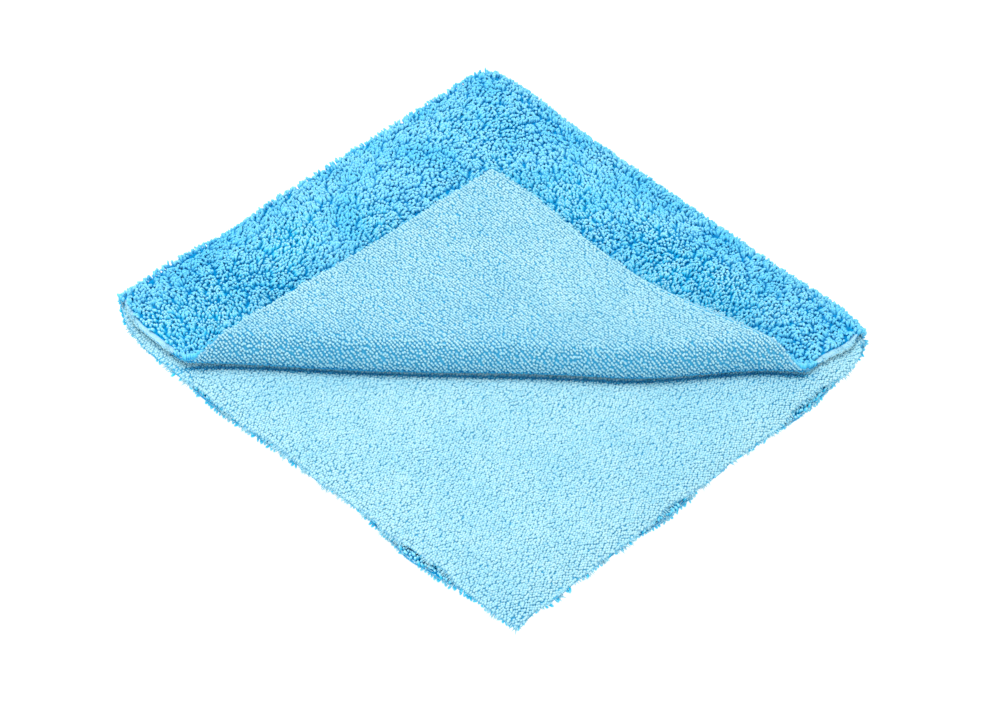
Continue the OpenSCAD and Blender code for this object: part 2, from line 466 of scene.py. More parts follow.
def edge_band(surface, run, inward_sign, start, band):
    """The smooth rim that the cutting leaves, as a flat tube. Its vertices are numbered from start."""
    half, thick = band
    ahead = unit(np.gradient(run, axis=0))
    inward = inward_sign * np.stack([-ahead[:, 1], ahead[:, 0]], -1)
    rows = []
    for turn in np.arange(BAND_SIDES) * 2 * math.pi / BAND_SIDES:
        flat = run + inward * half * (0.95 - math.cos(turn))
        place, out = surface_frame(surface, flat[:, 0], flat[:, 1])[:2]
        rows.append(place + out * thick * math.sin(turn))
    points = np.stack(rows, 1)
    count = len(run)
    base = start + np.arange(count - 1)[:, None] * BAND_SIDES
    i = np.arange(BAND_SIDES)
    j = (i + 1) % BAND_SIDES
    quads = np.stack([base + i, base + j, base + BAND_SIDES + j, base + BAND_SIDES + i], -1).reshape(-1, 4)
    last = start + (count - 1) * BAND_SIDES
    caps = np.array([start + i[::-1], last + i])
    if inward_sign < 0:
        quads, caps = quads[:, ::-1], caps[:, ::-1]
    return points.reshape(-1, 3), quads, caps


def knit_sheet(name, surface, shape, long_side, spacing=3.0, band=THIN_BAND):
    """The ground knit: a thin closed sheet over the outline, with the smooth rim of its cut edges."""
    outline, cut = shape
    low, high = outline.min(0), outline.max(0)
    columns = np.linspace(low[0], high[0], max(5, int((high[0] - low[0]) / spacing)))[1:-1]
    a, b = np.meshgrid(columns, np.arange(low[1], high[1], spacing))
    grid = np.stack([a.ravel(), b.ravel()], -1)
    grid = grid[inside(grid, outline)]
    clear = min(0.5 * spacing, 0.6 * (high[0] - low[0]) / (len(columns) + 1))
    grid = grid[nearest(grid, outline)[0] > clear]
    count = len(outline)
    points = [Vector(p) for p in np.concatenate([outline, grid])]
    rim = [(i, (i + 1) % count) for i in range(count)]
    flat, _, faces, _, _, _ = delaunay_2d_cdt(points, rim, [], 1, 1e-5)
    flat = np.array([p[:] for p in flat])
    faces = np.array([f[:3] for f in faces if len(f) == 3])
    faces = faces[inside(flat[faces].mean(1), outline)]
    place, out = surface_frame(surface, flat[:, 0], flat[:, 1])[:2]
    total = len(flat)
    points = [place + out * KNIT / 2, place - out * KNIT / 2]
    directed = np.concatenate([faces[:, [0, 1]], faces[:, [1, 2]], faces[:, [2, 0]]])
    key = np.sort(directed, axis=1) @ np.array([total, 1])
    _, where, uses = np.unique(key, return_inverse=True, return_counts=True)
    border = directed[uses[where.ravel()] == 1]
    walls = np.stack([border[:, 0], border[:, 0] + total, border[:, 1] + total, border[:, 1]], -1)
    groups = [np.concatenate([faces, faces[:, ::-1] + total]), walls]
    used = 2 * total
    for run in cut_runs(outline, cut):
        ring, quads, caps = edge_band(surface, run, math.copysign(1, signed_area(outline)), used, band)
        points.append(ring)
        groups += [quads, caps]
        used += len(ring)
    rim_share = np.concatenate([np.zeros(2 * total), np.ones(used - 2 * total)])
    under_long = np.concatenate([np.full(total, long_side > 0), np.full(used - total, long_side < 0)])
    return new_object(name, np.concatenate(points), groups, [("rim", rim_share), ("under_long", under_long)])


def surface_frame(surface, a, b):
    """Place, outward direction and two tangents at each point of a surface."""
    step = 0.2
    along = unit(surface(a + step, b) - surface(a - step, b))
    across = surface(a, b + step) - surface(a, b - step)
    out = unit(np.cross(along, across))
    return surface(a, b), out, along, np.cross(out, along)


def tuft_places(outline, pitch, angle, jitter, shift):
    """Tuft places in rows over an outline, turned by angle, with every second row shifted."""
    turn = np.array([[math.cos(angle), math.sin(angle)], [-math.sin(angle), math.cos(angle)]])
    back = outline @ turn.T
    low, high = back.min(0), back.max(0)
    rows = np.arange(low[1], high[1] + pitch[1], pitch[1])
    columns = np.arange(low[0] - pitch[0], high[0] + pitch[0], pitch[0])
    a, b = np.meshgrid(columns, rows)
    a = a + (np.arange(len(rows)) % 2)[:, None] * pitch[0] * shift
    places = np.stack([a.ravel(), b.ravel()], -1)
    places += rng.normal(0, 1, places.shape) * np.array(pitch) * jitter
    places = places @ turn
    return places[inside(places, outline)]


def scattered(numbers, across, along):
    """A number from 0 to 1 for each pair of whole numbers, with no pattern."""
    mixed = np.sin(numbers[:, 0] * across + numbers[:, 1] * along) * 43758.5
    return mixed - np.floor(mixed)


def clump_pull(places, size):
    """Vector from each place to the middle of its clump, the nearest of the scattered middles."""
    pull, least = np.zeros(places.shape), np.full(len(places), np.inf)
    for i in (-1, 0, 1):
        for j in (-1, 0, 1):
            cells = np.floor(places / size) + (i, j)
            offset = np.stack([scattered(cells, 127.1, 311.7), scattered(cells, 269.5, 183.3)], -1)
            towards = (cells + offset) * size - places
            far = (towards ** 2).sum(-1)
            nearer = far < least
            pull[nearer], least[nearer] = towards[nearer], far[nearer]
    return pull


def lean_field(places):
    """A slow drift of the pile's direction across the cloth."""
    a, b = places[:, 0], places[:, 1]
    angle = 2.2 * np.sin(a / 23 + 0.8 * np.sin(b / 19)) + 1.9 * np.sin(b / 27 + 1.1)
    return np.stack([np.cos(angle), np.sin(angle)], -1)


# How deep a tuft's foot is sunk in the knit, the least height above the resting face, and how much longer a
# bead is along its row
SUNK, FLOOR_GAP, BEAD_STRETCH = 0.12, 0.06, 1.28

LONG_TUFT = {"rings": (0.0, 0.35, 0.7, 0.92), "widths": (0.7, 0.95, 1.0, 0.68), "sides": 6}
FINE_TUFT = {"rings": (0.0, 0.4, 0.8), "widths": (0.9, 1.0, 0.6), "sides": 5}
PLAIN_TUFT = {"rings": (0.0, 0.45, 0.85), "widths": (0.8, 1.0, 0.7), "sides": 5}
BEAD = {"rings": (0.0, 0.4, 0.8), "widths": (0.85, 1.0, 0.62), "sides": 6}
PLAIN_BEAD = {"rings": (0.0, 0.62), "widths": (0.95, 0.85), "sides": 5}


def tufts(name, surface, places, side, length, radius, lean, shape, openness, start=KNIT / 2 - SUNK,
          spin=None, stretch=1.0, steps=None):
    """Pile on one side of a surface, one rounded tuft at each place. Returns pieces, each with its step."""
    count = len(places)
    place, out, along, across = surface_frame(surface, places[:, 0], places[:, 1])
    out = out * side
    place = place + out * start
    spin = rng.uniform(0, 2 * math.pi, count) if spin is None else spin
    sideways = along * lean[:, :1] + across * lean[:, 1:]
    rings, widths, sides = shape["rings"], shape["widths"], shape["sides"]
    rows, heights = [], []
    share_height = 1 / np.sqrt(1 + (lean ** 2).sum(-1))

    def spine(t):
        rise = (t * share_height * length)[:, None]
        return place + out * rise + sideways * (length * share_height * t ** 1.7)[:, None]

    around = np.arange(sides) * 2 * math.pi / sides
    for t, width in zip(rings, widths):
        here = spine(np.full(count, t))
        ahead = unit(spine(np.full(count, t + 0.05)) - here)
        first = along * np.cos(spin)[:, None] + across * np.sin(spin)[:, None]
        first = unit(first - ahead * (first * ahead).sum(-1, keepdims=True))
        second = np.cross(ahead, first)
        size = (radius * width)[:, None]
        for turn in around:
            rows.append(here + first * size * math.cos(turn) * stretch + second * size * math.sin(turn))
            heights.append(np.full(count, t))
    rows.append(spine(np.ones(count)))
    heights.append(np.ones(count))
    points = np.stack(rows, 1)
    points[..., 2] = np.maximum(points[..., 2], FLOOR_GAP)
    per = points.shape[1]
    i = np.arange(sides)
    j = (i + 1) % sides
    low = np.arange(len(rings) - 1)[:, None] * sides
    quads = np.stack([low + i, low + j, low + sides + j, low + sides + i], -1).reshape(-1, 4)
    last = (len(rings) - 1) * sides
    caps = np.stack([last + i, last + j, np.full(sides, per - 1)], -1)
    tone, height = rng.uniform(0, 1, count), np.stack(heights, 1)
    each = 2 * len(quads) + len(caps)
    parts = max(1, math.ceil(count * each / MOST_FACES))
    order = np.argsort(places[:, 0] + places[:, 1], kind="stable")
    pieces = []
    groups = np.array_split(order, parts)
    if steps is not None:
        groups = [np.flatnonzero(steps == step) for step in np.unique(steps)]
    for number, chosen in enumerate(groups):
        offset = (np.arange(len(chosen)) * per)[:, None, None]
        chunk = [(quads[None] + offset).reshape(-1, 4), (caps[None] + offset).reshape(-1, 3)]
        values = [("pile_height", height[chosen].ravel()), ("tone", np.repeat(tone[chosen], per)),
                  ("openness", np.repeat(openness[chosen], per))]
        label = name if len(groups) == 1 else f"{name}_{number + 1}"
        step = None if steps is None else steps[chosen[0]]
        pieces.append((new_object(label, points[chosen].reshape(-1, 3), chunk, values), step))
    return pieces


# ---- Pile ----

# pitch is between tufts and between rows; jitter is a share of it; shift is of every second row. Length and
# radius are ranges. field, clump and loose are how far tufts lean together, to their clumps and at random.
# edge is how far they lean out at a cut edge, and clear is the least distance from one.
def pile(shape, pitch, length, radius, jitter=0.2, field=0.3, clump=0.4, loose=0.3, edge=0.9, clear=0.5,
         shift=0.5):
    return {"shape": shape, "pitch": pitch, "length": length, "radius": radius, "jitter": jitter,
            "field": field, "clump": clump, "loose": loose, "edge": edge, "clear": clear, "shift": shift}


PILES = {
    "long": pile(LONG_TUFT, (1.24, 1.08), (1.9, 2.5), (0.44, 0.62), clump=0.35),
    "fluff": pile(LONG_TUFT, (1.04, 0.9), (1.9, 2.6), (0.38, 0.54), jitter=0.25, loose=0.35, clear=0.4),
    "long_roll": pile(LONG_TUFT, (0.6, 1.0), (1.9, 2.4), (0.6, 0.78), clump=0.2),
    "long_plain": pile(PLAIN_TUFT, (2.4, 2.08), (1.9, 2.3), (0.8, 1.0), field=0.5, edge=0.6),
    "short": pile(BEAD, (1.2, 0.98), (0.88, 1.08), (0.46, 0.58), jitter=0.15, field=0.1, clump=0.0,
                  loose=0.25, edge=0.2, clear=0.35, shift=0.0),
    "short_soft": pile(BEAD, (0.98, 0.88), (0.86, 0.98), (0.5, 0.6), jitter=0.15, field=0.2, clump=0.0,
                       edge=0.3, clear=0.6),
    "short_plain": pile(PLAIN_BEAD, (1.6, 1.36), (0.8, 0.9), (0.74, 0.84), jitter=0.09, field=0.1, clump=0.0,
                        loose=0.2, edge=0.1, clear=0.9),
}
CLUMP_SIZE = 5.0

# An outline narrower than this is a fold strip
NARROW = 20


def always(value):
    """The same value at every place."""
    return lambda places: np.full(len(places), value)


closed_up = always(0.2)


# Where handling has parted the long pile (positive) or fluffed it up: shares of the way from the side fold
# and from the front edge, the patch's size in millimetres, and how strongly
HANDLED = (
    (0.10, 0.08, 22, 0.6),
    (0.07, 0.38, 15, 0.8),
    (0.08, 0.64, 20, -0.9),
    (0.46, 0.92, 26, 0.3),
    (0.76, 0.95, 22, 0.5),
    (0.22, 0.91, 12, -0.7),
    (0.12, 0.97, 7, 0.6),
    (1.00, 0.94, 18, -0.7),
)


def parted(places):
    """How far the long pile parts and shows its deep colour: in drifting patches, little along the folds."""
    a, b = places[:, 0], places[:, 1]
    drift = (np.sin(a / 11 + 1.4 * np.sin(b / 13)) + np.sin(b / 9 - 0.8 * np.sin(a / 17) + 1.0)
             + 0.6 * np.sin((a + b) / 6))
    worn = 0.5 + 0.2 * drift
    cut = CUT["top_quarter"]
    for share_x, share_y, reach, strength in HANDLED:
        x = FOLD_X + share_x * (cut - FOLD_X)
        y = -cut + share_y * (cut + FOLD_Y)
        worn += strength * np.exp(-((a - x) ** 2 + (b - y) ** 2) / reach ** 2)
    fold = np.minimum(a - FOLD_X, FOLD_Y - b)
    return np.clip(worn, 0, 1) * smooth((fold - 1) / 14)


def grow(name, surface, shape, side, kind, angle, keep, openness, bare, turning):
    """One side's pile. Near a cut edge it leans out over the edge, or leaves a bare rim that wide."""
    outline, cut = shape
    style = PILES[kind]
    places = tuft_places(outline, style["pitch"], angle, style["jitter"], style["shift"])
    if keep is not None:
        places = places[keep(places)]
    clumped = clump_pull(places, CLUMP_SIZE) / CLUMP_SIZE * 2
    lean = style["field"] * lean_field(places) + style["clump"] * clumped
    lean += rng.normal(0, style["loose"], lean.shape)
    if cut.any():
        edge = outline[cut]
        far, which = nearest(places, edge)
        away = (edge[which] - places) / np.maximum(far, 0.05)[:, None]
        outward = 0.0 if bare else style["edge"] * (0.3 if np.ptp(outline[:, 0]) < NARROW else 1.0)
        lean = lean * smooth(far / 4)[:, None] + away * (outward * np.exp(-far / 1.6))[:, None]
        chosen = far > (style["clear"] if bare is None else np.maximum(style["clear"], bare(places)))
        places, lean = places[chosen], lean[chosen]
    count = len(places)
    length, radius = rng.uniform(*style["length"], count), rng.uniform(*style["radius"], count)
    # The value carries the pile's parting, and painted shade where it goes over 1.
    parting_and_shade = openness(places)
    steps = turning(surface(places[:, 0], places[:, 1])[:, 2]) if turning else None
    short = kind.startswith("short")
    radius = radius * (1.08 - 0.16 * parting_and_shade)
    return tufts(name, surface, places, side, length, radius, lean, style["shape"], parting_and_shade,
                 spin=angle + math.pi / 2 + rng.normal(0, 0.3, count) if short else None,
                 stretch=BEAD_STRETCH if short else 1.0, steps=steps)


def fringe(name, surface, shape, reach, depth=(0.2, 1.1), leaning=(1.0, 4.0), sides=(1, -1), spacing=0.8):
    """Fibre ends along the cut edges, in uneven clumps. Depth is how far inside the edge they stand."""
    outline, cut = shape
    places, lean = [], []
    for run in cut_runs(outline, cut):
        walked = np.concatenate([[0], np.cumsum(np.linalg.norm(np.diff(run, axis=0), axis=1))])
        margin = min(4 * spacing, 0.3 * walked[-1])
        at = np.arange(margin, walked[-1] - margin, spacing / 3)
        at = at + rng.normal(0, spacing / 4, len(at))
        here, before, after = (np.stack([np.interp(at + step, walked, run[:, i]) for i in (0, 1)], -1)
                               for step in (0, -0.7, 0.7))
        ahead = unit(after - before)
        outward = math.copysign(1, signed_area(outline)) * np.stack([ahead[:, 1], -ahead[:, 0]], -1)
        places.append(here - outward * rng.uniform(*depth, len(at))[:, None])
        lean.append(outward * rng.uniform(*leaning, len(at))[:, None]
                    + ahead * rng.normal(0, 0.8, len(at))[:, None])
    places, lean = np.concatenate(places), np.concatenate(lean)
    count = len(places)
    walked = places @ np.array([1.0, 1.31])
    uneven = 0.75 + 0.45 * np.sin(walked / 2.3 + 1.7 * np.sin(walked / 5.1))
    length = reach * uneven * rng.uniform(0.5, 1.0, count)
    made_up = rng.choice(sides, count)
    pieces = []
    for side in sides:
        word = "out" if side > 0 else "in"
        chosen = made_up == side
        found = tufts(f"{name}_{word}", surface, places[chosen], side, length[chosen],
                      rng.uniform(0.22, 0.36, chosen.sum()), lean[chosen], FINE_TUFT,
                      np.full(chosen.sum(), 0.15), start=0.05)
        pieces += [thing for thing, _ in found]
    return pieces


# ---- Materials ----

def linear(*levels):
    """A colour given by its usual 8-bit levels, as the shaders take it."""
    return tuple(((c / 255 + 0.055) / 1.055) ** 2.4 for c in levels) + (1.0,)


def new_material(name, roughness, sheen):
    material = bpy.data.materials.new(name)
    material.use_nodes = True
    tree = material.node_tree
    tree.nodes.clear()
    output = tree.nodes.new("ShaderNodeOutputMaterial")
    shader = tree.nodes.new("ShaderNodeBsdfPrincipled")
    shader.inputs["Roughness"].default_value = roughness
    shader.inputs["Specular IOR Level"].default_value = 0.12
    shader.inputs["Sheen Weight"].default_value = sheen
    shader.inputs["Sheen Roughness"].default_value = 0.45
    shader.inputs["Sheen Tint"].default_value = (0.25, 0.75, 1.0, 1.0)
    shader.inputs["Specular Tint"].default_value = (0.2, 0.7, 1.0, 1.0)
    tree.links.new(shader.outputs["BSDF"], output.inputs["Surface"])
    return material, tree, shader


def noise(tree, where, scale, detail=2.0):
    node = tree.nodes.new("ShaderNodeTexNoise")
    node.inputs["Scale"].default_value = scale
    node.inputs["Detail"].default_value = detail
    tree.links.new(where.outputs["Object"], node.inputs["Vector"])
    return node.outputs["Fac"]


def ramp(tree, value, stops):
    node = tree.nodes.new("ShaderNodeValToRGB")
    while len(node.color_ramp.elements) < len(stops):
        node.color_ramp.elements.new(0.5)
    for element, (at, colour) in zip(node.color_ramp.elements, stops):
        element.position, element.color = at, colour
    tree.links.new(value, node.inputs["Fac"])
    return node.outputs["Color"]


def mix(tree, factor, first, second, way="MIX"):
    node = tree.nodes.new("ShaderNodeMix")
    node.data_type = "RGBA"
    node.blend_type = way
    for socket, value in ((node.inputs[0], factor), (node.inputs[6], first), (node.inputs[7], second)):
        if isinstance(value, bpy.types.NodeSocket):
            tree.links.new(value, socket)
        else:
            socket.default_value = value
    return node.outputs[2]


def shaded(tree, colour, value, stops, share=1.0):
    """The colour multiplied by a ramp of the value."""
    return mix(tree, share, colour, ramp(tree, value, stops), "MULTIPLY")


def add_bump(tree, shader, height, strength, distance):
    node = tree.nodes.new("ShaderNodeBump")
    node.inputs["Strength"].default_value = strength
    node.inputs["Distance"].default_value = distance
    tree.links.new(height, node.inputs["Height"])
    tree.links.new(node.outputs["Normal"], shader.inputs["Normal"])


WHITE = (1, 1, 1, 1)


def attribute(tree, name):
    node = tree.nodes.new("ShaderNodeAttribute")
    node.attribute_name = name
    return node.outputs["Fac"]


def pile_material(name, parted_stops, close_stops, patch, sheen):
    """Fibre tufts: deep at the root, pale at the tip, which is the fibre's blue with painted shade down among
    the roots;
    each a little different, in broad soft patches. The pile gets painted shade, darker and bluer still, where
    its openness is above 1, as in the crevice under the roll."""
    material, tree, shader = new_material(name, 0.9, sheen)
    where = tree.nodes.new("ShaderNodeTexCoord")
    height = attribute(tree, "pile_height")
    at = (0.0, 0.5, 1.0)
    close_colour = ramp(tree, height, list(zip(at, close_stops)))
    parted_colour = ramp(tree, height, list(zip(at, parted_stops)))
    colour = mix(tree, attribute(tree, "openness"), close_colour, parted_colour)
    half = tree.nodes.new("ShaderNodeMath")
    half.operation = "MULTIPLY"
    half.inputs[1].default_value = 0.5
    tree.links.new(attribute(tree, "openness"), half.inputs[0])
    # Painted shade: where openness goes over 1 the pile is darkened toward deep blue, as in the crevice under
    # the roll.
    crevice_shade = [(0.5, WHITE), (0.62, (0.3, 0.75, 0.92, 1)), (1.0, (0.05, 0.34, 0.66, 1))]
    colour = shaded(tree, colour, half.outputs[0], crevice_shade)
    colour = shaded(tree, colour, attribute(tree, "tone"), [(0.0, (0.78, 0.92, 0.96, 1)), (1.0, WHITE)])
    colour = shaded(tree, colour, noise(tree, where, 60, 3), [(0.36, patch), (0.6, WHITE)])
    fibre = noise(tree, where, 2600, 1)
    colour = shaded(tree, colour, fibre, [(0.3, (0.75, 0.9, 0.95, 1)), (0.65, WHITE)], share=0.3)
    tree.links.new(colour, shader.inputs["Base Color"])
    add_bump(tree, shader, fibre, 0.3, 0.0002)
    return material


def knit_material(name, deep, light, rim):
    """The ground knit: small loops, deep under the long pile, light under the short, with a fused rim."""
    material, tree, shader = new_material(name, 0.85, 0.1)
    where = tree.nodes.new("ShaderNodeTexCoord")
    loops = tree.nodes.new("ShaderNodeTexVoronoi")
    loops.inputs["Scale"].default_value = 1100
    tree.links.new(where.outputs["Object"], loops.inputs["Vector"])
    colour = mix(tree, attribute(tree, "under_long"), light, deep)
    colour = shaded(tree, colour, loops.outputs["Distance"], [(0.1, WHITE), (0.7, (0.6, 0.85, 0.93, 1))])
    patches = [(0.3, (0.8, 0.92, 0.97, 1)), (0.7, WHITE)]
    colour = shaded(tree, colour, noise(tree, where, 60, 2), patches)
    worn_rim = tuple(0.8 * c for c in rim[:3]) + (1,)
    fused = ramp(tree, noise(tree, where, 900, 2), [(0.3, worn_rim), (0.7, rim)])
    colour = mix(tree, attribute(tree, "rim"), colour, fused)
    tree.links.new(colour, shader.inputs["Base Color"])
    add_bump(tree, shader, loops.outputs["Distance"], 0.5, 0.0003)
    return material


FINISH = {
    "long_pile": pile_material(
        "long_pile_fibre",
        (linear(0, 188, 226), linear(60, 208, 242), linear(180, 236, 250)),
        (linear(84, 194, 234), linear(126, 214, 244), linear(156, 227, 250)), (0.6, 0.9, 0.96, 1), 0.08),
    "short_pile": pile_material(
        "short_pile_fibre",
        (linear(0, 120, 172), linear(104, 190, 222), linear(196, 232, 236)),
        (linear(120, 191, 220), linear(164, 212, 228), linear(197, 233, 236)), (0.88, 0.96, 0.99, 1), 0.08),
    "ground_knit": knit_material("ground_knit_loops", linear(0, 152, 206), linear(86, 184, 218),
                                 linear(170, 220, 240)),
}


# ---- Building the towel ----

# Each stretch's knit and its other pieces, by the stretch's name
made = {}

# A bend's tufts go in rows by height, one piece a row, which keeps each tuft whole. STEPS is how many such
# rows a bend has, and FAR sets how close together the blend heights worked out for a row lie.
STEPS, FAR = 24, 0.1


def even_bend(start, end, share):
    """Start and end of a blend that turns everything near by the same share of the whole turn."""
    t = np.linspace(0, 1, 400)
    here = float(np.interp(share, smooth(t), t))
    x, y, low = start
    level = low + here * (end[2] - low)
    return (x, y, level - here * FAR), (x, y, level + (1 - here) * FAR)


def place_piece(thing, zone, part, body=None, across=None, step=None, flatten=None):
    """Gives a piece its finish, hides the CAD node that it stands for, and attaches it to its body, or at
    either end of a bend to that end's body. A piece inside a bend only has its transform applied.
    """
    thing.data.materials.append(FINISH[zone])
    if part:
        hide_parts(f"{part}_{zone}")
    if across and step in (0, STEPS):
        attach(thing, across[0] if step == 0 else across[1])
    elif across:
        first, second, start, end = across
        if step is not None:
            start, end = even_bend(start, end, step / STEPS)
        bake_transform(thing)
        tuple(start)
        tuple(end)
    else:
        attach(thing, body)
    if flatten:
        joint, axis, anchor, keep = flatten
        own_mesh(thing)
        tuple(axis)
        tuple(anchor)
    return thing


def build(part, surface, shape, out_zone, in_zone, outer, inner, body=None, across=None, name=None,
          angle=0.0, stands_for=True, openness=closed_up, long_openness=None, fringe_reach=1.4, bare=None,
          band=THIN_BAND, in_rows=False, flatten=None):
    """A stretch of the towel: its ground knit, and the pile on its outward and inward sides."""
    name = name or part
    node = part if stands_for else None
    narrow = np.ptp(shape[0][:, 0]) < NARROW
    spacing = 1.2 if narrow else 3.0
    knit = knit_sheet(f"{name}_knit", surface, shape, 1 if out_zone == "long_pile" else -1, spacing, band)
    place_piece(knit, "ground_knit", node, body, across, flatten=flatten)
    if node and not inner:
        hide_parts(f"{node}_{in_zone}")
    pieces = []

    def turning(heights):
        """Which row of the bend each tuft belongs to, by its height."""
        low, high = across[2][2] / MM, across[3][2] / MM
        return np.round(smooth((heights - low) / (high - low)) * STEPS).astype(int)

    for side, zone, styles in ((1, out_zone, outer), (-1, in_zone, inner)):
        opening_and_shade = long_openness if long_openness and zone == "long_pile" else openness
        rows = turning if in_rows and zone == "long_pile" else None
        for number, (kind, keep) in enumerate(styles):
            label = f"{name}_{zone.split('_')[0]}_tufts" + "_b" * number
            for thing, step in grow(label, surface, shape, side, kind, angle, keep, opening_and_shade, bare, rows):
                pieces.append(place_piece(thing, zone, node, body, across, step, flatten))
    if shape[1].any() and fringe_reach:
        for thing in fringe(f"{name}_fringe", surface, shape, fringe_reach):
            pieces.append(place_piece(thing, "short_pile", None, body, across, flatten=flatten))
    if band == THICK_BAND:
        for thing in fringe(f"{name}_rim", surface, shape, RIM_TUFT, depth=(-0.3, 1.9), leaning=(0.4, 3.0),
                            sides=(1,), spacing=0.42):
            pieces.append(place_piece(thing, "short_pile", None, body, across, flatten=flatten))
    made[name] = (knit, pieces)


def crease_side(places):
    """How far in front of the crease each place lies."""
    u, v = (places[:, 0] - places[:, 1]) / ROOT2, (places[:, 0] + places[:, 1]) / ROOT2
    return u - CREASE_U - bend(v)


# How far the close pile goes on under the roll, in from a free edge, in from a fold, and in from the
# crease's ends
UNDER_ROLL, EDGE_STRIP, FOLD_STRIP, CREASE_END = 12, 7, 9, 9


def front_triangle(places):
    """Where the turned-back corner leaves the upper inner quarter in view, with a little to spare."""
    return crease_side(places) > -UNDER_ROLL


def near_free_edge(places):
    right, front = RIGHT["bottom_quarter"] - EDGE_STRIP, FRONT["bottom_quarter"] + EDGE_STRIP
    return (places[:, 0] > right) | (places[:, 1] < front)


def near_fold(places):
    return (places[:, 0] < FOLD_X + FOLD_STRIP) | (places[:, 1] > FOLD_Y - FOLD_STRIP)


def other(test):
    return lambda places: ~test(places)


def corner_openness(places):
    """The short pile's rows part toward the crease."""
    return 0.02 + 0.32 * np.exp(-places[:, 0] / 12)


def triangle_openness(places):
    """Painted shade on the short pile in front of the crease: deep colour just under the roll, wider toward
    its right end, with a dark painted shadow line along the crevice below the roll. The pile is also a little
    darker near the free corner.
    """
    side, v = crease_side(places), (places[:, 0] + places[:, 1]) / ROOT2
    under = smooth((side + 1) / 3) * smooth((CREASE_HALF + 4 - np.abs(v)) / 14)
    # The painted shade reaches further toward the right end, where the roll lifts off.
    reach = 1.7 + 2.8 * smooth((v - 55) / 30)
    # A dark painted shadow line along the crevice under the roll.
    line = smooth((side - 3.4) / 1.2) * smooth((6.4 - side) / 1.7)
    # Painted shade: deep colour right under the roll, with the crevice's shadow line on top.
    crevice_shade = 0.8 * np.exp(-np.abs(side - 4.7) / reach) + line
    near_corner = smooth((side - 98) / 20)
    return 0.06 + under * crevice_shade + 0.35 * near_corner


def crease_openness(places):
    """The roll stretches the short pile's rows apart, most of all low down and on its underside; the pile
    there is also deeper as painted shade on the roll's downward-facing lower part, with a dark painted shadow
    line along the roll's lowest part in view.
    """
    share = places[:, 0] / ROLL_LENGTH
    # Painted shadow: a dark line low on the roll, where it meets the pile below.
    line = smooth((0.4 - share) / 0.08) * smooth((share - 0.19) / 0.06)
    return 0.35 + 0.55 * smooth(1 - share) + 0.75 * line


fluffed, slightly_parted, deep = always(0.08), always(0.22), always(0.9)

# The top quarter's cut edges show their smooth rim
whole_rim = always(2.2)


def well_inside(places):
    """The crease away from its two ends."""
    return np.abs(places[:, 1]) < CREASE_HALF - CREASE_END


def right_rim(places):
    """The turned-back corner shows its smooth rim at the right end only."""
    return 1.6 * smooth((places[:, 1] - 40) / 25)


def build_quarter(name, out_zone, in_zone, outer, inner, **rest):
    build(name, quarter_surface(name), quarter_outline(name), out_zone, in_zone, outer, inner, body=name,
          long_openness=deep, **rest)


PLAIN_LONG, PLAIN_SHORT = [("long_plain", None)], [("short_plain", None)]
TRIANGLE_SHORT = [("short_soft", front_triangle), ("short_plain", other(front_triangle))]
EDGED_LONG = [("long", near_free_edge), ("long_plain", other(near_free_edge))]
build_quarter("bottom_quarter", "short_pile", "long_pile", PLAIN_SHORT, EDGED_LONG)
build_quarter("lower_inner_quarter", "long_pile", "short_pile", EDGED_LONG, PLAIN_SHORT)
build_quarter("upper_inner_quarter", "short_pile", "long_pile", TRIANGLE_SHORT, EDGED_LONG,
              openness=triangle_openness, fringe_reach=2.7)
build("top_quarter", quarter_surface("top_quarter"), top_outline(), "long_pile", "short_pile",
      [("long", other(near_fold)), ("fluff", near_fold)], PLAIN_SHORT, body="top_quarter",
      long_openness=parted, fringe_reach=1.6, bare=whole_rim, band=THICK_BAND)
build("turned_back_corner", corner_surface, corner_outline(), "long_pile", "short_pile", [("long", None)],
      [("short", None)], angle=math.pi / 4, body="turned_back_corner", openness=corner_openness,
      bare=right_rim)

# The strips that bend round the folds. Each blend starts and ends just clear of the seams.
CLEAR = KNIT / 2 + 0.03


def between(x, y, low, high):
    return (x * MM, y * MM, low * MM), (x * MM, y * MM, high * MM)


for part, lower, upper in (("lower_side_fold", "bottom_quarter", "lower_inner_quarter"),
                           ("upper_side_fold", "upper_inner_quarter", "top_quarter")):
    start, end = between(FOLD_X, 0, seam_height(lower) + CLEAR, seam_height(upper, SIDE_SWELL) - CLEAR)
    outline = strip_outline(SIDE_REACH, (FRONT[lower] + FRONT[upper]) / 2, FOLD_Y, cut_low=True)
    build(part, side_surface(lower, upper), outline, "long_pile", "short_pile", [("fluff", None)], [],
          across=(lower, upper, start, end), openness=fluffed, fringe_reach=0)

part, lower, upper = "inner_centre_fold", "lower_inner_quarter", "upper_inner_quarter"
start, end = between(0, FOLD_Y, seam_height(lower) + CLEAR, seam_height(upper) - CLEAR)
outline = strip_outline(INNER_REACH, FOLD_X, RIGHT[lower], cut_high=True)
build(part, centre_surface(lower, upper, inner_puff), outline, "short_pile", "long_pile", [("short", None)],
      PLAIN_LONG, across=(lower, upper, start, end), fringe_reach=0)

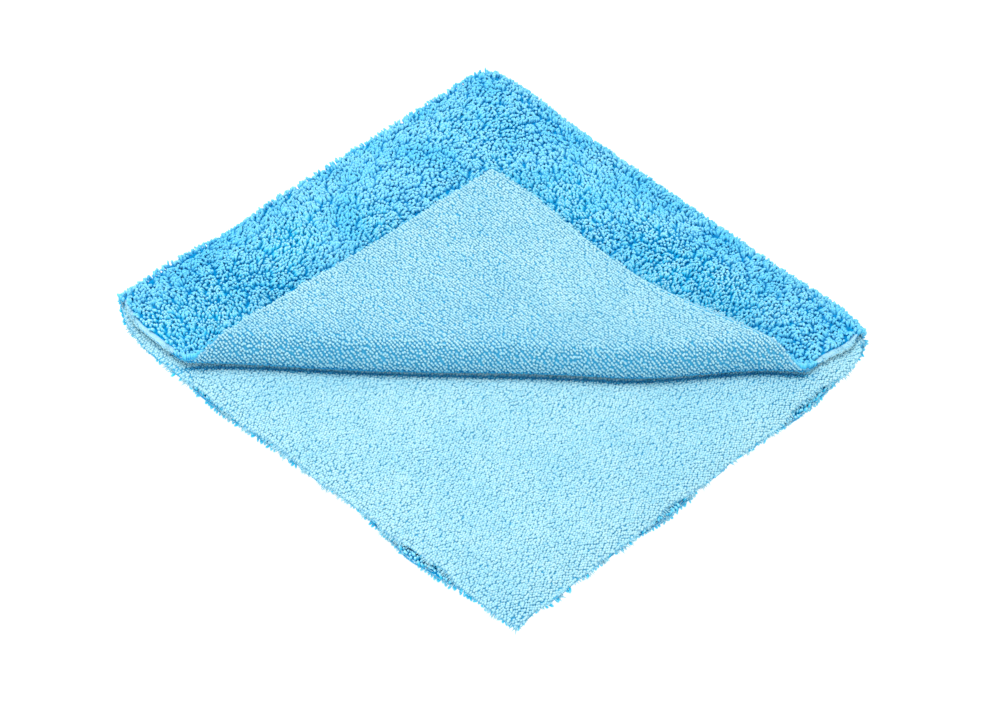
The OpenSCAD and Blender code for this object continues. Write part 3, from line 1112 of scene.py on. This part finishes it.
# The outer back fold is two halves, one on each quarter.
DRAWN_IN = ("centre_fold", (0, 1, 0), (0, FOLD_Y * MM, 0), 0.41)
part, lower, upper = "outer_centre_fold", "bottom_quarter", "top_quarter"
for half, share, body in (("lower_half", (0, 0.5), lower), ("upper_half", (0.5, 1), upper)):
    outline = strip_outline(OUTER_REACH, FOLD_X, RIGHT[body], share, cut_high=True)
    build(part, centre_surface(lower, upper, outer_puff), outline, "long_pile", "short_pile",
          [("fluff", None)], PLAIN_SHORT, body=body, name=f"{part}_{half}", stands_for=body == lower,
          openness=fluffed, flatten=DRAWN_IN)
    turn = math.pi * (OUTER_REACH - SIDE_REACH)
    outline = strip_outline(SIDE_REACH, turn * share[0], turn * share[1])
    build(part, wrap_surface, outline, "long_pile", "short_pile", [("fluff", None)], [], body=body,
          name=f"back_corner_{half}", stands_for=False, openness=fluffed, flatten=DRAWN_IN)

part, lower, upper = "corner_crease", "top_quarter", "turned_back_corner"
middle_u = CREASE_U / ROOT2
start, end = between(middle_u, -middle_u, ROLL_LOW + 1.6, ROLL_HIGH - 1.6)
build(part, crease_surface, crease_outline(), "long_pile", "short_pile",
      [("long_roll", well_inside), ("fluff", other(well_inside))], [("short", None)],
      angle=math.pi / 4, across=(lower, upper, start, end), openness=crease_openness,
      long_openness=slightly_parted, fringe_reach=0, in_rows=True)


# ---- Sheets ----

def pieces_of(*names):
    return [thing for name in names for thing in made[name][1]]


def knits_of(*names):
    return [made[name][0] for name in names]


def declare(part, width, length, area=None, rests_on=(), strips=()):
    list(rests_on)
    pieces_of(part, *strips) + knits_of(*strips)


size = {p: (CUT[p] - FOLD_X, CUT[p] + FOLD_Y) for p in PANELS}
left_over = size["top_quarter"][0] * size["top_quarter"][1] - CREASE_HALF ** 2
declare("bottom_quarter", *size["bottom_quarter"],
        strips=["lower_side_fold", "outer_centre_fold_lower_half", "back_corner_lower_half"])
declare("lower_inner_quarter", *size["lower_inner_quarter"], rests_on=["bottom_quarter_knit"],
        strips=["inner_centre_fold"])
declare("upper_inner_quarter", *size["upper_inner_quarter"], rests_on=["lower_inner_quarter_knit"],
        strips=["upper_side_fold"])
declare("top_quarter", *size["top_quarter"], area=left_over * MM * MM, rests_on=["upper_inner_quarter_knit"],
        strips=["corner_crease", "outer_centre_fold_upper_half", "back_corner_upper_half"])
declare("turned_back_corner", 2 * CORNER_HEIGHT, CORNER_HEIGHT, area=CORNER_HEIGHT ** 2 * MM * MM,
        rests_on=["top_quarter_knit"])


# ---- Floor, light and camera ----

# The floor lies clear of the roll, which swings below the towel when the quarters open. Its glow washes out
# the shadow, which would show the gap between the towel and the floor. HALF is in metres.
FLOOR_Z, HALF = -12.5 * MM, 4
FLOOR_CORNERS = [(-HALF, -HALF), (HALF, -HALF), (HALF, HALF), (-HALF, HALF)]
floor_mesh = bpy.data.meshes.new("studio_floor")
floor_mesh.from_pydata([(x, y, FLOOR_Z) for x, y in FLOOR_CORNERS], [], [(0, 1, 2, 3)])
floor = bpy.data.objects.new("studio_floor", floor_mesh)
bpy.context.scene.collection.objects.link(floor)
floor_material = bpy.data.materials.new("studio_white")
floor_material.use_nodes = True
floor_shader = floor_material.node_tree.nodes["Principled BSDF"]
floor_shader.inputs["Base Color"].default_value = (0.3, 0.3, 0.3, 1)
floor_shader.inputs["Roughness"].default_value = 0.9
floor_shader.inputs["Emission Color"].default_value = (1, 1, 1, 1)
floor_shader.inputs["Emission Strength"].default_value = 0.92
floor_mesh.materials.append(floor_material)

world = bpy.data.worlds.new("studio")
world.use_nodes = True
world.node_tree.nodes["Background"].inputs["Color"].default_value = (0.97, 0.985, 1.0, 1)
world.node_tree.nodes["Background"].inputs["Strength"].default_value = 0.84
bpy.context.scene.world = world


def softbox(name, where, size, power):
    lamp = bpy.data.lights.new(name, "AREA")
    lamp.shape = "DISK"
    lamp.size = size
    lamp.energy = power
    thing = bpy.data.objects.new(name, lamp)
    thing.location = where
    thing.rotation_mode = "QUATERNION"
    thing.rotation_quaternion = (-Vector(where)).to_track_quat("-Z", "Y")
    bpy.context.scene.collection.objects.link(thing)


softbox("key_softbox", (-0.35, -0.25, 1.5), size=0.9, power=15)
softbox("front_fill", (1.1, -1.3, 0.9), size=1.2, power=5)

AZIMUTH, ELEVATION, ROLL, DISTANCE = math.radians(38.57), math.radians(44.91), math.radians(6.92), 1.28
back = Vector((math.sin(AZIMUTH) * math.cos(ELEVATION), -math.cos(AZIMUTH) * math.cos(ELEVATION),
               math.sin(ELEVATION)))
right = Vector((0, 0, 1)).cross(back).normalized()
up = back.cross(right)
right, up = (right * math.cos(ROLL) + up * math.sin(ROLL), up * math.cos(ROLL) - right * math.sin(ROLL))
camera_data = bpy.data.cameras.new("camera")
camera_data.sensor_width = 36
camera_data.lens = 126.4
camera_data.shift_x, camera_data.shift_y = 0.0054, -0.0055
camera = bpy.data.objects.new("camera", camera_data)
camera.matrix_world = Matrix.Translation(back * DISTANCE) @ Matrix((right, up, back)).transposed().to_4x4()
bpy.context.scene.collection.objects.link(camera)
bpy.context.scene.camera = camera
bpy.context.scene.view_settings.view_transform = "Standard"
